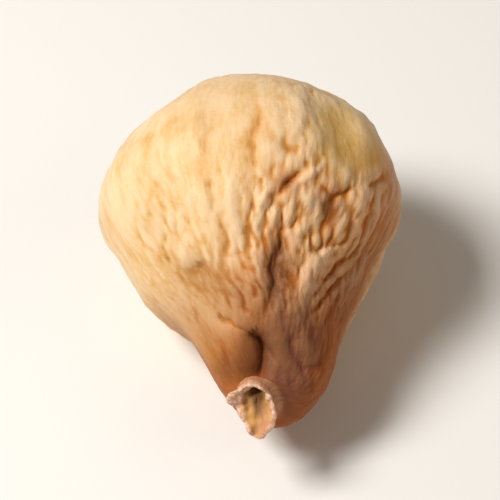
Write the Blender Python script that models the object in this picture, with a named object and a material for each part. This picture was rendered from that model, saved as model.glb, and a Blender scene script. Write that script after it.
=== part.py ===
"""One dried fig, lying on its side with the stalk towards -Y.

The fruit grew in one piece, so it is one solid: the round body with its eye at the far end, the shrunken
neck, and the short cut stalk. The skin is a profile spun about the fig's axis and then shaped: pressed flatter
than it is wide, drawn aside at both ends, ribbed, dented and creased as it dried. It rests on the flat that it
took where it lay on the drying tray.
"""

import math

import bmesh
import bpy
import numpy as np
from mathutils import Matrix, Vector, noise

# Driving dimensions, in metres
BODY_WIDTH = 0.036        # across the widest part of the body
STALK_DROOP = 12.0        # degrees that the axis drops towards the stalk
TRAY_FLAT_DEPTH = 0.0011  # how much of the underside the drying tray pressed flat

# The fineness of the mesh
MERIDIANS = 84
RINGS = 42
STEPS_BETWEEN_SECTIONS = 24

# Sections from the eye to the bottom of the cut stalk. Lengths are over half the body's width: the distance
# along the axis, the radius, how far the middle lies to the right and how far up. Then come the section's
# height over its width, how far its lower right side runs ahead of the rest, and how wrinkled its skin is.
SECTIONS = (
    (0.075, 0.000, 0.100, 0.000, 0.90, 0.00, 0.0),   # middle of the eye
    (0.020, 0.120, 0.100, 0.000, 0.90, 0.00, 0.0),
    (0.010, 0.230, 0.100, 0.000, 0.90, 0.00, 0.0),   # edge of the eye's disc
    (0.085, 0.440, 0.085, 0.000, 0.90, 0.00, 0.4),
    (0.240, 0.685, 0.045, 0.000, 0.90, 0.00, 0.8),
    (0.490, 0.900, 0.010, 0.000, 0.90, 0.00, 1.0),
    (0.820, 1.020, 0.000, 0.000, 0.90, 0.00, 1.0),   # widest part of the body
    (1.140, 0.955, 0.003, 0.000, 0.90, 0.00, 1.0),
    (1.430, 0.795, 0.000, 0.000, 0.89, 0.00, 1.0),
    (1.680, 0.645, 0.035, 0.000, 0.87, 0.00, 1.0),   # shoulder into neck
    (1.900, 0.502, 0.100, 0.000, 0.84, 0.01, 1.0),
    (2.080, 0.412, 0.145, -0.010, 0.81, 0.03, 1.0),
    (2.250, 0.330, 0.158, -0.020, 0.80, 0.045, 0.7),
    (2.375, 0.232, 0.120, 0.000, 0.85, 0.08, 0.2),   # end of the neck
    (2.375, 0.160, 0.070, 0.070, 0.95, 0.09, 0.0),   # foot of the stalk
    (2.430, 0.122, 0.045, 0.130, 1.00, 0.11, 0.0),
    (2.495, 0.128, 0.042, 0.150, 1.00, 0.13, 0.0),
    (2.525, 0.134, 0.042, 0.150, 1.00, 0.135, 0.0),  # rim of the cut
    (2.520, 0.095, 0.042, 0.155, 1.00, 0.135, 0.0),
    (2.450, 0.050, 0.046, 0.165, 1.00, 0.09, 0.0),
    (2.420, 0.000, 0.046, 0.168, 1.00, 0.00, 0.0),   # bottom of the cut
)
LEAN_TOWARDS = 160.0   # degrees from the top that the leaning sections lean to

# Ribs: the veins under the skin, which show on the neck and fade on the body
RIB_COUNT = 15
RIB_HEIGHT = 0.00016
RIB_WANDER = 3.5          # radians of the rib pattern that a rib wanders sideways
RIBS_FROM = 0.9           # where along the axis the ribs begin, and where they are full
RIBS_FULL = 1.7
# Lumps left where the flesh shrank unevenly, longer along the axis than across it
LUMP_HEIGHT = 0.0008
LUMP_SIZE = 0.0075
LUMP_STRETCH = 1.7
# The underside is smoother, because its own weight pressed it on the tray
PRESSED_FROM = 0.70       # minus the cosine of the angle from the top
PRESSED_FULL = 0.95

# Folds in the skin. The two ends of each are an angle from the top in degrees, to the right positive, and a
# distance along the axis over half the width. Then come its depth and its width in metres.
FOLDS = (
    ((2.0, 1.62), (3.0, 2.22), 0.0024, 0.0019),     # the cleft down to the stalk
    ((44.0, 1.00), (38.0, 1.30), 0.0010, 0.0024),   # the dent in the right shoulder
    ((118.0, 0.70), (100.0, 1.15), 0.0010, 0.0030),
    ((-128.0, 0.62), (-108.0, 1.05), 0.0009, 0.0030),
)
SKIN_COLOUR = (0.78, 0.56, 0.32, 1.0)
SKIN_ROUGHNESS = 0.5
MERGE_DISTANCE = 1e-5


def clear_scene():
    for obj in list(bpy.data.objects):
        bpy.data.objects.remove(obj, do_unlink=True)


def blend(low, high, value):
    """0 below low, 1 above high, and a smooth step between them."""
    share = min(1.0, max(0.0, (value - low) / (high - low)))
    return share * share * (3.0 - 2.0 * share)


def catmull_rom(before, start, end, after, share):
    """A point on the smooth curve from start to end."""
    return 0.5 * (
        2.0 * start
        + (end - before) * share
        + (2.0 * before - 5.0 * start + 4.0 * end - after) * share**2
        + (3.0 * start - before - 3.0 * end + after) * share**3
    )


def section_curve():
    """The sections joined by a smooth curve, as many close rows."""
    rows = [np.array(row) for row in SECTIONS]
    rows = [2 * rows[0] - rows[1], *rows, 2 * rows[-1] - rows[-2]]
    curve = []
    for before, start, end, after in zip(rows, rows[1:], rows[2:], rows[3:]):
        for step in range(STEPS_BETWEEN_SECTIONS):
            curve.append(catmull_rom(before, start, end, after, step / STEPS_BETWEEN_SECTIONS))
    curve.append(rows[-2])
    return np.array(curve)


def even_sections(count):
    """count + 1 sections, evenly spaced along the profile."""
    curve = section_curve()
    steps = np.hypot(np.diff(curve[:, 0]), np.diff(curve[:, 1]))
    travelled = np.concatenate([[0.0], np.cumsum(steps)])
    wanted = np.linspace(0.0, travelled[-1], count + 1)
    return np.column_stack([np.interp(wanted, travelled, column) for column in curve.T])


def fold_depth(angle, along, radius):
    """How deep the folds are at a point of the skin."""
    half = BODY_WIDTH / 2
    total = 0.0
    for (start_degrees, start_along), (end_degrees, end_along), depth, width in FOLDS:
        turned = (angle - math.radians(start_degrees) + math.pi) % math.tau - math.pi
        here = Vector((turned * radius, (along - start_along) * half))
        run = Vector(
            (math.radians(end_degrees - start_degrees) * radius, (end_along - start_along) * half)
        )
        share = min(1.0, max(0.0, here.dot(run) / run.length_squared))
        total += depth * math.exp(-(((here - run * share).length / width) ** 2))
    return total


def relief(angle, along, radius):
    """How far wrinkled skin stands out from the plain turned shape, in metres."""
    half = BODY_WIDTH / 2
    place = Vector((math.sin(angle) * radius, along * half, math.cos(angle) * radius))
    wander = RIB_WANDER * noise.noise(place / (2.0 * LUMP_SIZE))
    ribs = RIB_HEIGHT * blend(RIBS_FROM, RIBS_FULL, along) * math.cos(RIB_COUNT * angle + wander)
    place.y /= LUMP_STRETCH
    lumps = LUMP_HEIGHT * noise.noise(place / LUMP_SIZE)
    calm = 1.0 - blend(PRESSED_FROM, PRESSED_FULL, -math.cos(angle))
    return calm * (ribs + lumps) - fold_depth(angle, along, radius)


def skin_point(angle, section):
    """The place of one point of the skin in the fig's own frame: right, stalk end, up."""
    half = BODY_WIDTH / 2
    along, radius, aside, raised, flatness, lean, wrinkled = section
    out = radius * half
    if wrinkled > 0.0:
        out += wrinkled * relief(angle, along, out)
    ahead = lean * math.cos(angle - math.radians(LEAN_TOWARDS))
    right = out * math.sin(angle) + aside * half
    up = out * math.cos(angle) * flatness + raised * half
    return Vector((right, (along + ahead) * half, up))


def spin_skin():
    """The closed skin: the profile spun about the fig's axis, each point then moved to its own place."""
    sections = even_sections(RINGS)
    mesh = bmesh.new()
    row = mesh.verts.layers.int.new("section")
    profile = []
    for index, section in enumerate(sections):
        point = mesh.verts.new((0.0, index, section[1]))
        point[row] = index
        profile.append(point)
    edges = [mesh.edges.new(pair) for pair in zip(profile, profile[1:])]
    bmesh.ops.spin(
        mesh, geom=profile + edges, cent=(0, 0, 0), axis=(0, 1, 0), dvec=(0, 0, 0),
        angle=math.tau, steps=MERIDIANS, use_merge=True,
    )
    bmesh.ops.remove_doubles(mesh, verts=mesh.verts[:], dist=MERGE_DISTANCE)
    for point in mesh.verts:
        angle = math.atan2(point.co.x, point.co.z)
        point.co = skin_point(angle, sections[point[row]])
    bmesh.ops.recalc_face_normals(mesh, faces=mesh.faces[:])
    return mesh


def corners(mesh):
    """The lowest and the highest corner of the mesh's box."""
    low = Vector(min(point.co[axis] for point in mesh.verts) for axis in range(3))
    high = Vector(max(point.co[axis] for point in mesh.verts) for axis in range(3))
    return low, high


def lay_down(mesh):
    """Turns the stalk end towards -Y and down, presses the tray's flat, and puts the flat on the ground."""
    turn = Matrix.Scale(-1.0, 4, (0.0, 1.0, 0.0))
    droop = Matrix.Rotation(math.radians(STALK_DROOP), 4, "X")
    bmesh.ops.transform(mesh, matrix=droop @ turn, verts=mesh.verts[:])
    ground = corners(mesh)[0].z + TRAY_FLAT_DEPTH
    cut = bmesh.ops.bisect_plane(
        mesh, geom=mesh.verts[:] + mesh.edges[:] + mesh.faces[:], dist=MERGE_DISTANCE,
        plane_co=(0.0, 0.0, ground), plane_no=(0.0, 0.0, 1.0), clear_inner=True,
    )
    rim = [piece for piece in cut["geom_cut"] if isinstance(piece, bmesh.types.BMEdge)]
    bmesh.ops.edgenet_fill(mesh, edges=rim)
    bmesh.ops.recalc_face_normals(mesh, faces=mesh.faces[:])
    low, high = corners(mesh)
    middle = (low + high) / 2
    bmesh.ops.translate(mesh, vec=(-middle.x, -middle.y, -low.z), verts=mesh.verts[:])


def skin_material():
    material = bpy.data.materials.new("dried_fig_skin")
    material.use_nodes = True
    shader = material.node_tree.nodes["Principled BSDF"]
    shader.inputs["Base Color"].default_value = SKIN_COLOUR
    shader.inputs["Roughness"].default_value = SKIN_ROUGHNESS
    shader.inputs["Metallic"].default_value = 0.0
    return material


def make_fig():
    mesh = spin_skin()
    lay_down(mesh)
    data = bpy.data.meshes.new("dried_fig")
    mesh.to_mesh(data)
    mesh.free()
    data.materials.append(skin_material())
    data.shade_smooth()
    fig = bpy.data.objects.new("dried_fig", data)
    bpy.context.scene.collection.objects.link(fig)


clear_scene()
make_fig()
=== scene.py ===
"""The looks of one dried fig, laid out as an add-on: its skin, and the stage that it is shown on."""

import math

import bmesh
import bpy
import numpy as np
from bpy.props import FloatProperty, FloatVectorProperty, IntProperty, PointerProperty
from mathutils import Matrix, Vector


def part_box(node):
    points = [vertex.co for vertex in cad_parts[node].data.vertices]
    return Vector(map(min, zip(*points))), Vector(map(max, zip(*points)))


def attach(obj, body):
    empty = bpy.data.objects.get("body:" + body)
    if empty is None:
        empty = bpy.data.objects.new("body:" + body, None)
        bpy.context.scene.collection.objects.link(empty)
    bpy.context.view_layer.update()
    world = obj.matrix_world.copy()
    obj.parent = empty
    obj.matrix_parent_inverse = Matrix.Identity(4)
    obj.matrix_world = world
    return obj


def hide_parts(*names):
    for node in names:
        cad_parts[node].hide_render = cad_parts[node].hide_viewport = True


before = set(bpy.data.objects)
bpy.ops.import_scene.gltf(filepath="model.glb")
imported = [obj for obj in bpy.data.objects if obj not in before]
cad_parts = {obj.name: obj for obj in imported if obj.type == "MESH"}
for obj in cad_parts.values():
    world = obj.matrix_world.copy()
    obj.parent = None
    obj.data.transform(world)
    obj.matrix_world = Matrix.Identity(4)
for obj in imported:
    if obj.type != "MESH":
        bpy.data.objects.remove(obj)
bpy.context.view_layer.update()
CAD_LOW, CAD_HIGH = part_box("dried_fig")

bl_info = {
    "name": "Dried Fig",
    "version": (1, 0, 0),
    "blender": (4, 5, 0),
    "location": "View3D > Sidebar > Dried Fig",
    "description": "Grows the wrinkled skin of a dried fig and sets the stage for it",
    "category": "Add Mesh",
}

MM = 0.001
CAMERA_ELEVATION = 48.0   # degrees above the horizon
GRAIN_STRETCH = 3.0       # how much longer than wide the streaks in the skin are
LUMP_STRETCH = 1.7        # and the lumps
# How close together the streaks are where the fig is thin, and the radii where that is so and no longer so
GRAIN_NARROWEST, GRAIN_NARROW_RADIUS = 0.30, (0.0, 0.9)

# Sections from the eye to the bottom of the cut stalk. Lengths are over half the body's width: the distance
# along the axis, the radius, how far the middle lies to the right and how far up. Then come the section's
# height over its width, how far its lower right side runs ahead, how wrinkled its skin is, and how much
# closer together the rings lie there.
SECTIONS = (
    (0.075, 0.000, 0.100, 0.000, 0.90, 0.00, 0.0, 2.6),   # middle of the eye
    (0.020, 0.120, 0.100, 0.000, 0.90, 0.00, 0.0, 2.6),
    (0.010, 0.230, 0.100, 0.000, 0.90, 0.00, 0.0, 1.8),   # edge of the eye's disc
    (0.085, 0.440, 0.085, 0.000, 0.90, 0.00, 0.5, 0.9),
    (0.240, 0.685, 0.045, 0.000, 0.90, 0.00, 0.9, 0.85),
    (0.490, 0.900, 0.010, 0.000, 0.90, 0.00, 1.0, 0.85),
    (0.820, 1.020, 0.000, 0.000, 0.90, 0.00, 1.0, 0.95),  # widest part of the body
    (1.140, 0.955, 0.003, 0.000, 0.90, 0.00, 1.0, 1.1),
    (1.430, 0.795, 0.000, 0.000, 0.89, 0.00, 1.0, 1.1),
    (1.680, 0.645, 0.035, 0.000, 0.87, 0.00, 1.0, 1.1),   # shoulder into neck
    (1.900, 0.508, 0.094, 0.000, 0.84, 0.01, 1.0, 1.1),
    (2.080, 0.430, 0.127, -0.010, 0.81, 0.03, 1.0, 1.1),
    (2.250, 0.346, 0.142, -0.020, 0.80, 0.045, 0.9, 1.2),
    (2.375, 0.228, 0.124, 0.000, 0.85, 0.08, 0.6, 1.8),   # end of the neck
    (2.375, 0.160, 0.070, 0.070, 0.95, 0.09, 0.1, 2.0),   # foot of the stalk
    (2.430, 0.122, 0.045, 0.130, 1.00, 0.11, 0.0, 2.2),
    (2.495, 0.128, 0.042, 0.150, 1.00, 0.13, 0.0, 2.8),
    (2.525, 0.134, 0.042, 0.150, 1.00, 0.135, 0.0, 3.2),   # rim of the cut
    (2.520, 0.110, 0.042, 0.155, 1.00, 0.135, 0.0, 3.2),
    (2.475, 0.085, 0.044, 0.158, 1.00, 0.13, 0.0, 2.6),
    (2.420, 0.050, 0.046, 0.165, 1.00, 0.09, 0.0, 2.0),
    (2.385, 0.000, 0.046, 0.168, 1.00, 0.00, 0.0, 2.0),   # bottom of the cut
)
ALONG, RADIUS, WRINKLED, CLOSENESS = 0, 1, 6, 7   # the columns that are read by name
LEAN_TOWARDS = 160.0      # degrees from the top that the leaning sections lean to
LAST_NECK_SECTION = 12    # the last section that hidden folds are placed on
STEPS_BETWEEN_SECTIONS = 24
STEPS_BETWEEN_POINTS = 16   # the same for the points of a fold
COLUMNS_IN_STEP = 7       # faces around the fig for each step of its spin
CROWDING = 0.22           # how much closer together the columns are on top than half way round
MERGE_DISTANCE = 1e-4
TINY, LEAST_GAP = 1e-12, 1e-9   # what stands in for 0 in divisions and logarithms
SWELL_WAVES, SWELL_SPREAD = 40, (0.6, 1.4)   # the waves in a swell, and how much their size differs
GROUND_GIVE = 0.12 * MM   # how gradually the skin meets the ground
GIVES_WITHIN = 6.0        # how high above the ground it does so, over that length

# The cut of the stalk isn't round. Angles are from the top, to the right positive, and reaches in degrees.
# Sizes are over the radius.
CUT_RINGS = 16            # how many rings before the rim it starts
INSIDE_RINGS = 4          # and how many rings the rim is thick
RIM_RINGS = (-12, -2, 2, 5)   # counted from the rim: where its finish begins, is full, fades and ends
KNOB_ANGLE, KNOB_REACH, KNOB_SIZE = -74.0, 17.0, 0.42
KNOB_LOSS_INSIDE = 0.8
SIDE_ANGLES, SIDE_REACH, SIDE_SIZE = (132.0, -136.0), 32.0, 0.24
WALL_ANGLE, WALL_REACH, WALL_SIZE = -35.0, 60.0, 0.30
CUT_ROUGHNESS, CUT_GRAIN_SIZE = 0.09 * MM, 1.3 * MM   # in metres

# How far round a point its own hollow is read, and the broader dip that it lies in
HOLLOW_SIZE, DIP_SIZE = 0.45 * MM, 1.4 * MM
# The hollow and the dip that turn a slope into a valley, and the height that makes a crest
VALLEY_HOLLOW, VALLEY_DIP, CREST_HEIGHT = 0.26 * MM, 0.9 * MM, 0.40 * MM
# The hollow where creases begin to darken, partly their own red brown and partly painted shade, and where
# they are darkest
CREASE_FROM, CREASE_FULL = 0.10 * MM, 0.46 * MM

# The eye: how wide its slits are at their tips, over their width, how high and long its scales are, and how
# far along the axis it reaches
SLIT_ENDS, SCALE_HEIGHT, SCALE_SIZE, EYE_TO = 0.2, 0.16 * MM, 1.6 * MM, 0.5

# How folds bend aside on their way, and how far they pull the skin beside them together
SEEN_BEND, HIDDEN_BEND, BEND_SHARE = 2.2 * MM, 3.0 * MM, 0.05
SEEN_PINCH, HIDDEN_PINCH, DENT_PINCH = 0.36, 0.30, 0.10
FOLD_UNEVENNESS, FOLD_UNEVEN_SIZE, FOLD_LIMITS = 0.30, 6.0 * MM, (0.5, 1.5)   # how unevenly deep they are
SEEN_FACING = (-0.10, 0.35)   # how squarely skin faces the camera where it begins to be seen, and is seen
UNDERSIDE = (0.60, 0.95)      # minus the cosine of the angle from the top where the skin is pressed smooth
NARROW_DEPTH, BULGE_HEIGHT = 0.65, 0.12   # of a crease's bottom and of the skin beside it, over its depth
FOLD_WRINKLED = 1.4       # how much further the folds run into smooth skin than the wrinkles
FOLD_ENDS, RIDGE_ENDS = 0.15, 0.5   # how deep or high they are at their ends, over the middle
FOLD_BLUNTNESS = 0.6      # below 1, a fold keeps its depth nearly up to its ends
FOLD_REACH, RIDGE_REACH, PINCH_REACH, SLIT_REACH = 5.0, 3.0, 1.8, 4.0   # how far each is felt, over its width
NEAREST_POINTS = 6        # how many points of the skin give a fold's place
SMALLEST_GAP = 0.05 * MM  # and how close one of them counts as being at most
FACING = 0.12             # how squarely skin faces the camera where a seen fold can lie
LUMP_SHARPNESS = 14.0     # how sharp the creases between lumps are
LUMP_DISTANCE = 0.72      # how close the middles of two lumps can be, over their spacing
LUMP_HEAD_START = 0.28    # how much larger some lumps are than others
LUMP_BEND, LUMP_DEPTH = 0.16, 0.22   # how bent their creases are, and how deep
LUMP_BEND_SIZE = 1.6      # how long the bends are, over the spacing
LUMP_CANDIDATES = 8       # of how many points one is tried as the middle of a lump
LUMP_PARTS = 60           # in how many parts the skin is searched, to save memory
LUMP_LIMIT = 1.2          # how high or deep a lump can be
PATCH_DISTANCE = 0.62     # how far apart the middles of two patches of waves are, over their spacing
PATCH_LENGTH, PATCH_WIDTH = 3.4, 3.2   # how far a patch is followed along and around the fig, over its size
IN_STEP_FROM = 0.25       # how strong the waves have to be for the next patch to start in step with them
WEAK_PATCHES = 0.35       # how strong the waves are where the wrinkles are half as high
CREASE_ROUNDING, CREASED_MEAN = 0.004, 0.64   # how blunt a crease is, and how high creased skin is on average
SOFT_HEIGHT = 0.42        # how high soft wrinkles are

# The tone of the skin, from about 0 in the valleys to 1 on the ridges: that of the valleys, how much more the
# ridges have, what the blotches, bands, streaks and fibres add, and the painted light that the lit left side
# adds
VALLEY_TONE, RIDGE_TONE, PATTERN_TONES, LIT_SIDE_PAINTED_LIGHT = 0.13, 0.85, (0.7, 0.65, 0.35, 0.15), 0.03
BLOTCH_SIZE, BAND_SIZE, STREAK_SIZE, FIBRE_SIZE = 4.5 * MM, 2.0 * MM, 0.9 * MM, 0.45 * MM
GRAIN_SIZE, PORE_SIZE, GRIT_SIZE, PAPER_SIZE = 0.35 * MM, 0.55 * MM, 0.8 * MM, 0.6 * MM
# Crease colour: partly the folds' own red brown and partly painted crease shade
CREST_HIGHLIGHT_SHARE, GREEN_SHARE, CREASE_SHADE_SHARE = 0.5, 0.35, 0.7   # how strongly these colours cover the skin
# Where each finish begins and is full in the value that it follows, and how strong it is at both
FADES = {
    "slope": (0.0, 0.42, 0.0, 1.0),
    "ridge": (0.2, 0.78, 0.0, 1.0),
    "brown": (0.1, 1.0, 1.0, 0.55),
    "green": (0.3, 0.6, 0.35, 1.0),
    "golden lobe": (0.2, 0.9, 0.10, 0.60),
    "slope of the neck": (0.2, 1.0, 0.0, 0.13),
    "dark": (0.1, 0.9, 1.0, 0.75),
    "bark": (0.2, 0.7, 0.35, 0.9),
    "cut": (0.35, 0.7, 0.0, 1.0),
    "pink": (0.35, 0.65, 0.4, 0.9),
    "rim": (0.3, 0.75, 0.0, 1.0),
    "eye": (0.3, 0.6, 0.0, 1.0),
    "grit": (0.2, 0.8, 0.5, 2.4),
}
BUMP_HEIGHT, BUMP_STRENGTH, FIBRE_BUMP = 0.10 * MM, 0.7, 0.7   # of the pores and the grit, and of the fibres
GRAIN_ROUGHNESS, NECK_ROUGHNESS = 0.2, 0.10   # how much rougher the grain and the neck make the skin
PAPER_SHADE, PAPER_ROUGHNESS = 0.985, 0.85    # of the floor, which looks like plain paper
SUBSURFACE_SHARE, SUBSURFACE_DEPTH = 0.16, 1.3 * MM
SUBSURFACE_COLOURS, SHINE, SHINE_TINT = (1.0, 0.45, 0.2), 0.20, (1.0, 0.78, 0.55, 1.0)
# Both lights: azimuth and elevation in degrees, distance and size in metres, and colour
KEY_LIGHT = (-80.0, 54.0, 0.55, 0.20, (1.0, 0.97, 0.92))
FILL_LIGHT = (75.0, 35.0, 0.7, 0.4, (1.0, 0.75, 0.50))
SKY_COLOUR = (1.0, 0.96, 0.90, 1.0)

# Seeds of the random patterns. Each fold or ridge adds its own number to its seed.
FOLD_BEND_SEED, RIDGE_BEND_SEED, FOLD_DEPTH_SEED = 0, 60, 200
SWELL_SEED, BACK_SEED, UNEVEN_SEED, CLOSENESS_SEED = 36, 81, 24, 25
LUMP_SEED, SMALL_LUMP_SEED, EYE_SEED, CUT_SEED = 41, 51, 61, 71

# Folds that the camera sees. Each has its points in millimetres, across from the middle of the outline and
# down from its top as the camera sees it, then its depth and its width in millimetres.
SEEN_FOLDS = {
    "cleft above the stalk": (((-0.1, 30.7), (1.1, 32.5), (1.3, 34.4), (0.9, 36.3)), 1.95, 0.90),
    "edge of the left lobe": (
        ((-3.9, 28.6), (-3.2, 29.2), (-1.7, 30.1), (0.2, 31.3), (1.0, 32.3)), 0.55, 0.40),
    "branch to the right of the cleft": (((1.1, 31.4), (2.4, 32.8), (3.6, 34.2)), 0.50, 0.55),
    "valley above the cleft": (
        ((3.9, 18.7), (3.6, 20.4), (3.2, 21.8), (2.4, 23.1), (3.1, 24.3),
         (2.6, 26.5), (1.8, 28.4), (1.1, 30.6)), 0.62, 0.70),
    "left arm of the forked fold": (((8.4, 13.5), (9.1, 14.4), (9.5, 15.4)), 0.45, 0.36),
    "right arm of the forked fold": (((12.1, 13.9), (10.7, 14.5), (9.4, 15.4)), 0.62, 0.40),
    "stem of the forked fold": (((9.5, 14.8), (9.3, 16.7), (8.8, 18.0), (7.6, 19.6)), 0.68, 0.42),
    "curved fold": (
        ((7.1, 10.6), (6.0, 11.6), (4.7, 13.1), (3.6, 14.4),
         (2.7, 15.4), (2.1, 16.7), (1.8, 18.7)), 0.50, 0.36),
    "below the wide lump": (((6.2, 15.5), (6.0, 16.9), (5.2, 18.1), (3.9, 18.8)), 0.46, 0.34),
    "beside the second thin ridge": (((4.2, 15.5), (3.9, 17.1), (3.8, 18.9)), 0.36, 0.34),
    "left of the first thin ridge": (((1.5, 12.9), (0.6, 14.0), (0.1, 15.9), (-0.1, 17.5)), 0.30, 0.36),
    "notch in the right side": (((13.9, 13.6), (15.0, 13.2), (16.2, 12.2)), 0.60, 0.40),
    "crease above the bright lump": (((6.9, 22.1), (8.3, 21.3), (9.7, 20.6), (10.8, 20.2)), 0.58, 0.36),
    "second crease above it": (((7.5, 21.3), (8.8, 20.3), (10.1, 19.5)), 0.36, 0.34),
    "long crease on the right": (
        ((13.0, 21.0), (11.1, 22.6), (9.4, 24.3), (7.8, 26.1), (6.3, 27.7)), 0.75, 0.40),
    "second crease on the right": (((11.6, 23.9), (10.1, 25.5), (8.5, 27.1), (7.1, 28.5)), 0.52, 0.38),
    "crease beside the bright ridge": (((12.3, 15.9), (11.9, 17.6), (11.5, 19.4), (10.8, 20.6)), 0.28, 0.34),
    "crease on the right side": (((14.4, 16.2), (13.5, 18.5), (12.8, 20.6)), 0.30, 0.36),
    "left side of the bright lump": (((6.3, 21.6), (5.9, 23.8), (5.5, 25.7), (5.1, 27.5)), 0.42, 0.55),
    "line in the valley": (((4.3, 25.5), (4.2, 27.4), (4.0, 29.2)), 0.28, 0.36),
    "mark above the left lobe": (((-1.3, 25.3), (-0.8, 27.3), (-0.3, 28.6)), 0.44, 0.38),
    "beside the knob of the right lobe": (((4.7, 31.0), (5.1, 33.2), (6.3, 34.8), (7.8, 35.2)), 0.50, 0.48),
}
# Dents without a sharp bottom, given in the same way
SEEN_DENTS = {
    "right arm of the valley": (((3.0, 22.8), (4.6, 24.2), (4.8, 26.2)), 0.40, 0.65),
    "dent at the top of the curved fold": (((6.0, 11.7), (5.0, 12.9), (4.1, 13.8)), 0.45, 0.65),
    "dent in the wide lump": (((6.3, 15.1), (6.8, 16.2), (7.0, 17.3)), 0.20, 0.45),
    "long dent down the middle": (
        ((1.3, 3.8), (1.2, 5.6), (0.2, 7.2), (0.2, 9.3), (0.4, 11.0), (0.3, 12.6)), 0.19, 0.70),
    "small dent": (((3.5, 7.8), (4.8, 9.1), (6.2, 8.8)), 0.40, 0.80),
    "above the small dent": (((3.6, 3.6), (4.0, 5.4), (4.8, 6.6)), 0.18, 0.80),
    "long dent on the right side": (((16.2, 15.5), (15.3, 18.3), (14.1, 21.1), (12.5, 23.6)), 0.24, 0.65),
    "second line in the valley": (((5.1, 25.7), (5.0, 27.8)), 0.18, 0.42),
    "beside the neck's right ridge": (((10.4, 27.1), (9.0, 29.2), (7.7, 30.4)), 0.30, 0.65),
    "groove at the upper left": (
        ((-5.4, 4.0), (-5.2, 6.1), (-5.3, 8.2), (-6.0, 10.7), (-6.4, 12.8)), 0.13, 0.90),
    "line below it": (((-5.2, 12.8), (-4.8, 14.1), (-4.5, 16.1), (-4.1, 17.3)), 0.30, 0.45),
    "left side of the rib": (((-3.3, 16.8), (-2.9, 18.5), (-2.7, 20.3), (-2.8, 21.7)), 0.20, 0.48),
    "right side of the rib": (((-0.1, 16.9), (-0.3, 19.4), (-0.1, 21.8)), 0.24, 0.55),
    "dents at the lower left": (((-8.0, 24.3), (-6.8, 23.9), (-5.7, 23.2), (-4.6, 24.3)), 0.26, 0.85),
    "pit above them": (((-6.1, 22.7), (-6.5, 23.6)), 0.36, 0.75),
    "wrinkle at the lower left": (((-8.8, 24.0), (-6.8, 25.8), (-5.5, 27.3), (-4.0, 28.5)), 0.10, 0.50),
    "second wrinkle at the lower left": (((-6.1, 25.6), (-4.6, 26.5), (-3.5, 28.5)), 0.13, 0.50),
    "third wrinkle at the lower left": (((-4.0, 24.8), (-2.6, 27.3), (-1.6, 29.2)), 0.22, 0.50),
    "short wrinkle at the lower left": (((-6.9, 27.8), (-6.3, 29.6)), 0.18, 0.45),
    "dent in the left lobe": (((-3.7, 31.4), (-3.0, 33.2), (-2.6, 35.0)), 0.22, 0.60),
    "first line on the left": (((-13.1, 15.2), (-13.2, 18.3), (-12.7, 20.1), (-11.4, 21.5)), 0.10, 0.50),
    "second line on the left": (((-11.9, 12.2), (-11.7, 15.2), (-11.9, 18.0)), 0.08, 0.50),
    "third line on the left": (((-10.3, 15.7), (-9.9, 19.0), (-10.3, 21.0), (-9.5, 23.1)), 0.10, 0.50),
    "fourth line on the left": (((-8.6, 17.6), (-9.0, 19.0), (-8.4, 21.2)), 0.12, 0.45),
    "fifth line on the left": (((-7.6, 16.4), (-7.7, 18.5), (-8.4, 19.9)), 0.10, 0.45),
    "first wrinkle of the right lobe": (((7.8, 33.5), (8.5, 35.8)), 0.18, 0.42),
    "second wrinkle of the right lobe": (((6.2, 34.4), (6.5, 37.0)), 0.16, 0.40),
    "third wrinkle of the right lobe": (((7.3, 35.2), (7.5, 38.0)), 0.16, 0.40),
    "fourth wrinkle of the right lobe": (((3.4, 34.8), (3.7, 36.5), (3.9, 38.2)), 0.12, 0.40),
    "fifth wrinkle of the right lobe": (((4.8, 35.1), (5.0, 38.6)), 0.12, 0.40),
    "broad valley above the cleft": (
        ((4.1, 19.4), (3.4, 21.8), (3.0, 24.3), (2.7, 27.1), (2.0, 29.9)), 0.55, 1.60),
}
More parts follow.
